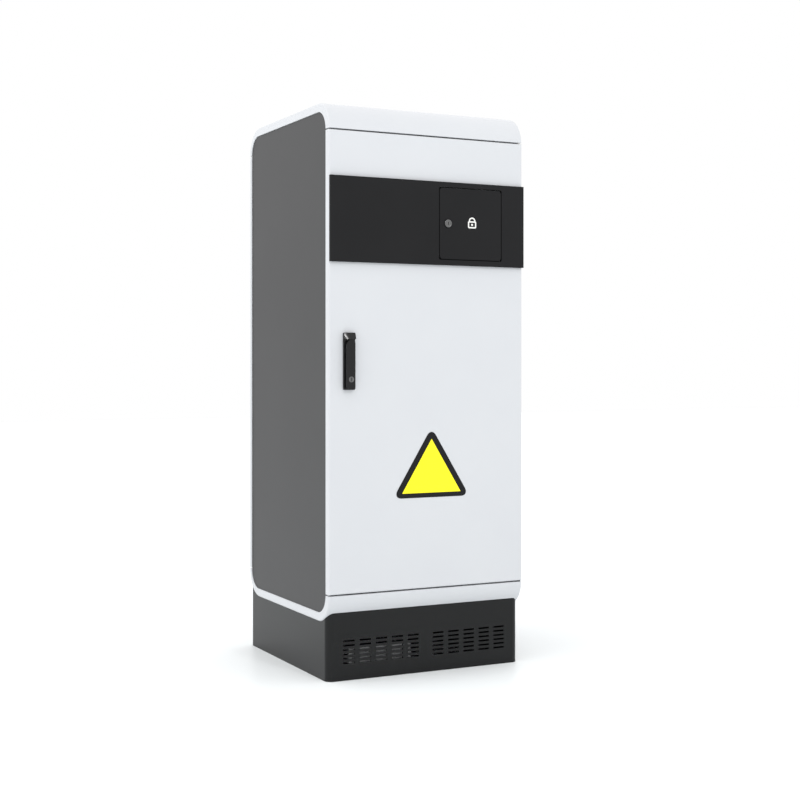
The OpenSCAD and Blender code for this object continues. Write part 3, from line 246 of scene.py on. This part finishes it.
for part in frame["record"]["subparts"]:
    mesh = nodes[part["node"]].data
    mesh.materials.clear()
    mesh.materials.append(finishes[part["material_slot"]])
# The flap's lock and the handle's key plug are dull die-cast zinc
die_cast = turned_metal("die_cast_zinc", "6A6A6A", "7C7C7C")
for node in ("lock_barrel", "lock_plug", "key_plug"):
    nodes[node].data.materials[0] = die_cast


# Shapes for the added pieces, with all sizes in millimetres

def box_mm(node):
    """Lowest and highest corner of a CAD node at rest."""
    low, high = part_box(node)
    return Vector(low) / MM, Vector(high) / MM


def keep(name, shape, finish, body):
    """Turns a finished bmesh into a piece that rides on a body."""
    bmesh.ops.remove_doubles(shape, verts=shape.verts, dist=1e-6)
    bmesh.ops.recalc_face_normals(shape, faces=shape.faces)
    mesh = bpy.data.meshes.new(name)
    shape.to_mesh(mesh)
    shape.free()
    mesh.shade_smooth()
    mesh.set_sharp_from_angle(angle=radians(35))
    mesh.materials.append(finish)
    piece = bpy.data.objects.new(name, mesh)
    bpy.context.scene.collection.objects.link(piece)
    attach(piece, body)


def soften(shape, edges, radius):
    """Rounds edges off."""
    bmesh.ops.bevel(shape, geom=edges, offset=radius * MM, affect="EDGES", segments=3,
                    profile=0.5, material=-1)


def round_corners(shape, along, segments):
    """Rounds the corners of a flat outline, starting that far along its sides."""
    bmesh.ops.bevel(shape, geom=list(shape.verts), offset=along * MM, affect="VERTICES",
                    segments=segments, profile=0.5, material=-1)


def push_back(shape, faces, depth):
    """Gives flat faces at the front a depth along Y."""
    pushed = bmesh.ops.extrude_face_region(shape, geom=faces, use_keep_orig=True)["geom"]
    back = [item for item in pushed if isinstance(item, bmesh.types.BMVert)]
    bmesh.ops.translate(shape, vec=(0, depth * MM, 0), verts=back)


def block(shape, low, high, rounding):
    """A box between two corners, with rounded edges."""
    made = bmesh.ops.create_cube(shape, size=1.0)["verts"]
    low, high = Vector(low) * MM, Vector(high) * MM
    bmesh.ops.scale(shape, vec=high - low, verts=made)
    bmesh.ops.translate(shape, vec=(low + high) / 2, verts=made)
    soften(shape, list({edge for vert in made for edge in vert.link_edges}), rounding)


def button(shape, centre, radius, y_front, y_back, rounding=0.0, sides=32):
    """A short cylinder along Y, whose front rim can be rounded."""
    made = bmesh.ops.create_circle(shape, cap_ends=True, segments=sides, radius=radius * MM,
                                   matrix=Matrix.Rotation(pi / 2, 4, "X"))["verts"]
    bmesh.ops.translate(shape, vec=Vector((centre[0], y_front, centre[1])) * MM, verts=made)
    face = made[0].link_faces[0]
    push_back(shape, [face], y_back - y_front)
    if rounding:
        soften(shape, list(face.edges), rounding)


def sheet_triangle(shape, centre_x, base_z, height, flare, corner, y_front, y_back):
    """An upright triangular plate, flared from equal sides, with rounded corners."""
    # A sharp tip stands one corner radius over its rounding, and 1.5 circle radii over the base
    radius = (height + corner) / 1.5
    made = bmesh.ops.create_circle(shape, cap_ends=True, segments=3, radius=radius * MM)["verts"]
    bmesh.ops.rotate(shape, verts=made, cent=(0, 0, 0), matrix=Matrix.Rotation(pi / 2, 3, "X"))
    bmesh.ops.scale(shape, vec=(flare, 1, 1), verts=made)
    bmesh.ops.translate(shape, vec=Vector((centre_x, y_front, base_z + radius / 2)) * MM, verts=made)
    # In a corner of 60 degrees the rounding starts at its radius times the root of 3
    round_corners(shape, corner * 3 ** 0.5, segments=6)
    push_back(shape, list(shape.faces), y_back - y_front)


def stroke_frame(shape, low_x, low_z, width, height, corner, stroke, y_front, y_back):
    """An upright rounded frame of one stroke's width."""
    made = bmesh.ops.create_grid(shape, x_segments=1, y_segments=1, size=0.5)["verts"]
    bmesh.ops.scale(shape, vec=(width * MM, height * MM, 1), verts=made)
    bmesh.ops.rotate(shape, verts=made, cent=(0, 0, 0), matrix=Matrix.Rotation(pi / 2, 3, "X"))
    middle = Vector((low_x + width / 2, y_front, low_z + height / 2)) * MM
    bmesh.ops.translate(shape, vec=middle, verts=made)
    round_corners(shape, corner, segments=5)
    inside = shape.faces[:][0]
    bmesh.ops.inset_region(shape, faces=[inside], thickness=stroke * MM, use_boundary=True,
                           use_even_offset=True)
    bmesh.ops.delete(shape, geom=[inside], context="FACES")
    push_back(shape, list(shape.faces), y_back - y_front)


def spun(shape, centre_x, centre_z, section, sweep, steps):
    """A closed section of (radius, y) points spun about an axis along Y."""
    verts = [shape.verts.new(Vector((centre_x + radius, y, centre_z)) * MM) for radius, y in section]
    loop = [shape.edges.new((verts[i - 1], verts[i])) for i in range(len(verts))]
    bmesh.ops.spin(shape, geom=loop, cent=Vector((centre_x, 0, centre_z)) * MM, axis=(0, -1, 0),
                   angle=sweep, steps=steps, use_merge=sweep == 2 * pi)


def half_ring(shape, centre_x, centre_z, outer, stroke, y_front, y_back):
    """The upper half of a flat ring."""
    inner = outer - stroke
    section = [(outer, y_front), (outer, y_back), (inner, y_back), (inner, y_front)]
    spun(shape, centre_x, centre_z, section, sweep=pi, steps=20)
    bmesh.ops.holes_fill(shape, edges=[edge for edge in shape.edges if edge.is_boundary], sides=4)


def bezel(shape, centre_x, centre_z, outer, inner, y_back, rise):
    """A ring with a half-round front that stands out from y_back."""
    middle, half = (outer + inner) / 2, (outer - inner) / 2
    arc_steps = 8
    turns = [step * pi / arc_steps for step in range(arc_steps + 1)]
    section = [(middle + half * cos(turn), y_back - rise * sin(turn)) for turn in turns]
    spun(shape, centre_x, centre_z, section, sweep=2 * pi, steps=48)


# Blank three-cornered marker plate on the door, with its yellow field let into it
DOOR_FACE = -250.0
MARKER_X = 7.0
MARKER_BASE = 404.4
MARKER_H = 148.6
MARKER_FLARE = 1.065
MARKER_CORNER = 12.4
MARKER_T = 0.5
MARKER_RIM = 10.8
FIELD_H = 122.6
FIELD_CORNER = 1.0
FIELD_RISE = 0.2
FIELD_SUNK = 0.1
marker_face = DOOR_FACE - MARKER_T
# vinyl film, a strong even yellow with a slight gloss
yellow_film = powder_coat("yellow_sheeting", "FFF80A", "FFF406",
                          roughness=0.35, peel_mm=3.0, peel_depth_mm=0.02)
rim = bmesh.new()
sheet_triangle(rim, MARKER_X, MARKER_BASE, MARKER_H, MARKER_FLARE, MARKER_CORNER,
               marker_face, DOOR_FACE)
keep("marker_rim", rim, finishes["band_black"], "door")
field = bmesh.new()
sheet_triangle(field, MARKER_X, MARKER_BASE + MARKER_RIM, FIELD_H, MARKER_FLARE, FIELD_CORNER,
               marker_face - FIELD_RISE, marker_face + FIELD_SUNK)
keep("marker_field", field, yellow_film, "door")

# Padlock pictogram on the flap, a line drawing in white film
FLAP_FACE = -259.0
FILM = 0.25
SIGN_X = 109.0
SIGN_Z = 1026.5
SIGN_W = 21.8
BODY_H = 16.5
BODY_CORNER = 3.2
STROKE = 3.1
SHACKLE_R = 8.8
KEYHOLE_R = 2.6
sign_face = FLAP_FACE - FILM
sign_body = bmesh.new()
stroke_frame(sign_body, SIGN_X - SIGN_W / 2, SIGN_Z, SIGN_W, BODY_H, BODY_CORNER, STROKE,
             sign_face, FLAP_FACE)
keep("padlock_sign_body", sign_body, finishes["white_plastic"], "flap")
sign_shackle = bmesh.new()
half_ring(sign_shackle, SIGN_X, SIGN_Z + BODY_H, SHACKLE_R, STROKE, sign_face, FLAP_FACE)
keep("padlock_sign_shackle", sign_shackle, finishes["white_plastic"], "flap")
sign_keyhole = bmesh.new()
button(sign_keyhole, (SIGN_X, SIGN_Z + BODY_H / 2), KEYHOLE_R, sign_face, FLAP_FACE)
keep("padlock_sign_keyhole", sign_keyhole, finishes["white_plastic"], "flap")

# Painted shade: a black sheet on the door's rim behind the flap, put there so the gap round the flap shows
# dark;
# the flap's box ends at its pins, so its plate is PIN_REACH shorter at the top and the foot
RIM_W = 5.4
RIM_PAST = 1.7
RIM_CORNER = 4.0
PIN_REACH = 4.5
flap_low, flap_high = box_mm("control_flap")
rim_x, rim_z = flap_low.x - RIM_PAST, flap_low.z + PIN_REACH - RIM_PAST
gap_shade_sheet = bmesh.new()
stroke_frame(gap_shade_sheet, rim_x, rim_z, flap_high.x + RIM_PAST - rim_x,
             flap_high.z - PIN_REACH + RIM_PAST - rim_z, RIM_CORNER, RIM_W,
             DOOR_FACE - FILM, DOOR_FACE)
keep("flap_gap_painted_shade", gap_shade_sheet, finishes["band_black"], "door")

# Die-cast bezel round the flap lock's plug
BEZEL_RISE = 0.8
BEZEL_W = 2.4
barrel_low, barrel_high = box_mm("lock_barrel")
barrel_middle = (barrel_low + barrel_high) / 2
barrel_r = (barrel_high.x - barrel_low.x) / 2
ring = bmesh.new()
bezel(ring, barrel_middle.x, barrel_middle.z, barrel_r, barrel_r - BEZEL_W, barrel_low.y, BEZEL_RISE)
keep("lock_bezel", ring, die_cast, "flap")


# Fronts of the plug-in modules: heights count from row_z, and seats from panel_back forwards

SLOT_GAP = 0.8


def module_edges(low, high, count=1):
    """Left and right edge of each of the like modules that share a node."""
    width = (high.x - low.x - (count - 1) * SLOT_GAP) / count
    starts = [low.x + k * (width + SLOT_GAP) for k in range(count)]
    return [(start, start + width) for start in starts]


HANDLE_REACH = 14.0
PLATE_T = 2.5
chassis_low, chassis_high = box_mm("chassis")
row_z = (chassis_low.z + chassis_high.z) / 2
lamp_low, lamp_high = box_mm("lamp_modules")
lamp_edges = module_edges(lamp_low, lamp_high, count=6)
panel_back = lamp_low.y + HANDLE_REACH
panel_face = panel_back - PLATE_T

# One lens of each signal colour on every lamp module, under a white one for power
LENS_ROWS = (("green", "green_plastic"), ("amber", "amber_plastic"),
             ("red", "red_plastic"), ("white", "white_plastic"))
LENS_SEAT = 9.0
LENS_R = 4.2
LENS_RISE = 2.4
LENS_ROUND = 1.8
LENS_Z0 = -62.0
LENS_PITCH = 14.0
lens_back = panel_back - LENS_SEAT
for row, (colour, slot) in enumerate(LENS_ROWS):
    lenses = bmesh.new()
    for left, right in lamp_edges:
        button(lenses, ((left + right) / 2, row_z + LENS_Z0 + row * LENS_PITCH), LENS_R,
               lens_back - LENS_RISE, lens_back, LENS_ROUND)
    keep("lamp_lenses_" + colour, lenses, finishes[slot], "cabinet")

# Processor: display window and keys
PAD_SEAT = 5.0
DISPLAY_W = 35.2
DISPLAY_Z0 = 32.4
DISPLAY_H = 31.2
DISPLAY_T = 0.6
DISPLAY_ROUND = 0.25
processor_low, processor_high = box_mm("processor_module")
processor_x = (processor_low.x + processor_high.x) / 2
pad_face = panel_back - PAD_SEAT
display_z = row_z + DISPLAY_Z0
display = bmesh.new()
block(display, (processor_x - DISPLAY_W / 2, pad_face - DISPLAY_T, display_z),
      (processor_x + DISPLAY_W / 2, pad_face, display_z + DISPLAY_H), DISPLAY_ROUND)
keep("display_window", display, finishes["black_plastic"], "cabinet")
KEY_PITCH = 14.0
KEY_SIZE = 9.0
KEY_T = 1.4
KEY_ROUND = 0.7
KEY_TOP_ROW = 5.0
KEY_ROWS = 4
keys = bmesh.new()
for column in (-1, 0, 1):
    for row in range(KEY_ROWS):
        x = processor_x + column * KEY_PITCH
        z = row_z + KEY_TOP_ROW - row * KEY_PITCH
        block(keys, (x - KEY_SIZE / 2, pad_face - KEY_T, z - KEY_SIZE / 2),
              (x + KEY_SIZE / 2, pad_face, z + KEY_SIZE / 2), KEY_ROUND)
keep("keypad_keys", keys, finishes["grey_plastic"], "cabinet")

# Inputs: black connector shells on the sockets
SOCKET_SEAT = 8.0
SHELL_W = 13.0
SHELL_H = 19.0
SHELL_T = 2.5
SHELL_ROUND = 0.8
SHELL_Z0 = -64.5
SHELL_PITCH = 34.0
SHELL_ROWS = 3
input_edges = module_edges(*box_mm("io_modules"), count=2)
socket_face = panel_back - SOCKET_SEAT
connectors = bmesh.new()
for left, right in input_edges:
    x = (left + right) / 2
    for row in range(SHELL_ROWS):
        z = row_z + SHELL_Z0 + row * SHELL_PITCH
        block(connectors, (x - SHELL_W / 2, socket_face - SHELL_T, z),
              (x + SHELL_W / 2, socket_face, z + SHELL_H), SHELL_ROUND)
keep("input_connectors", connectors, finishes["black_plastic"], "cabinet")

# Power: rocker switch
ROCKER_SEAT = 7.0
ROCKER_W = 24.0
ROCKER_H = 20.0
ROCKER_T = 2.5
ROCKER_ROUND = 1.0
ROCKER_Z0 = -74.0
power_low, power_high = box_mm("power_module")
power_x = (power_low.x + power_high.x) / 2
rocker_back = panel_back - ROCKER_SEAT
rocker_z = row_z + ROCKER_Z0
rocker = bmesh.new()
block(rocker, (power_x - ROCKER_W / 2, rocker_back - ROCKER_T, rocker_z),
      (power_x + ROCKER_W / 2, rocker_back, rocker_z + ROCKER_H), ROCKER_ROUND)
keep("power_rocker", rocker, finishes["black_plastic"], "cabinet")

# Captive screws in the corners of every module's front plate
CAPTIVE_IN = 4.5
CAPTIVE_R = 2.6
CAPTIVE_RISE = 1.6
CAPTIVE_ROUND = 0.7
screws = bmesh.new()
edges = module_edges(power_low, power_high) + module_edges(processor_low, processor_high)
for left, right in edges + input_edges + lamp_edges:
    for x in (left + CAPTIVE_IN, right - CAPTIVE_IN):
        for z in (lamp_low.z + CAPTIVE_IN, lamp_high.z - CAPTIVE_IN):
            button(screws, (x, z), CAPTIVE_R, panel_face - CAPTIVE_RISE, panel_face,
                   CAPTIVE_ROUND, sides=20)
# Pan-head screws that hold the chassis and the mounting plate to the uprights
PAN_IN = 7.0
PAN_R = 5.5
PAN_RISE = 3.2
PAN_ROUND = 1.4
CHASSIS_SCREW_IN = 38.0
PLATE_SCREW_IN = 20.0
plate_low, plate_high = box_mm("mounting_plate")
for x in (chassis_low.x + PAN_IN, chassis_high.x - PAN_IN):
    for z in (chassis_low.z + CHASSIS_SCREW_IN, chassis_high.z - CHASSIS_SCREW_IN,
              plate_low.z + PLATE_SCREW_IN, plate_high.z - PLATE_SCREW_IN):
        button(screws, (x, z), PAN_R, plate_low.y - PAN_RISE, plate_low.y, PAN_ROUND, sides=24)
keep("panel_screws", screws, finishes["steel"], "cabinet")


# Floor, light and camera, with places in metres

FLOOR_HALF = 14.0
floor_shape = bmesh.new()
bmesh.ops.create_grid(floor_shape, x_segments=1, y_segments=1, size=FLOOR_HALF)
floor_mesh = bpy.data.meshes.new("floor")
floor_shape.to_mesh(floor_mesh)
floor_shape.free()
# painted board, pale and only faintly mirroring
floor_paint = begin("pale_floor", Roughness=0.35, IOR=1.15, Base_Color=tone("F8FBFC"))[0]
floor_mesh.materials.append(floor_paint)
floor = bpy.data.objects.new("floor", floor_mesh)
bpy.context.scene.collection.objects.link(floor)

world = bpy.data.worlds.new("studio")
world.use_nodes = True
world.node_tree.nodes["Background"].inputs["Color"].default_value = tone("FFFFFF")
bpy.context.scene.world = world
bpy.context.scene.view_settings.view_transform = "Standard"


def softbox(name, place, aim, width, height, watts):
    """A rectangular area light that looks at a point."""
    lamp = bpy.data.lights.new(name, "AREA")
    lamp.shape = "RECTANGLE"
    lamp.size = width
    lamp.size_y = height
    lamp.energy = watts
    holder = bpy.data.objects.new(name, lamp)
    holder.location = place
    holder.rotation_euler = (Vector(aim) - Vector(place)).to_track_quat("-Z", "Y").to_euler()
    bpy.context.scene.collection.objects.link(holder)


# A weak key from the left, a small lamp that the handle mirrors, and a ceiling as wide as the studio
softbox("key", place=(-3.2, 0.3, 2.2), aim=(0.0, 0.0, 0.7), width=2.0, height=2.0, watts=25)
softbox("front_glint", place=(0.19, -2.82, 2.28), aim=(-0.2, -0.26, 0.76),
        width=0.16, height=0.16, watts=15)
softbox("ceiling", place=(0.0, 10.0, 9.0), aim=(0.0, 10.0, 0.0), width=44.0, height=44.0, watts=1460)

# Fitted to the cabinet's corners in the photograph
camera_data = bpy.data.cameras.new("photo_camera")
camera_data.sensor_width = 36.0
camera_data.lens = 63.56
camera_data.shift_y = -0.0459
camera = bpy.data.objects.new("photo_camera", camera_data)
camera.location = (-1.5144, -3.1236, 0.7125)
camera.rotation_euler = (radians(90), 0, radians(-26.62))
bpy.context.scene.collection.objects.link(camera)
bpy.context.scene.camera = camera
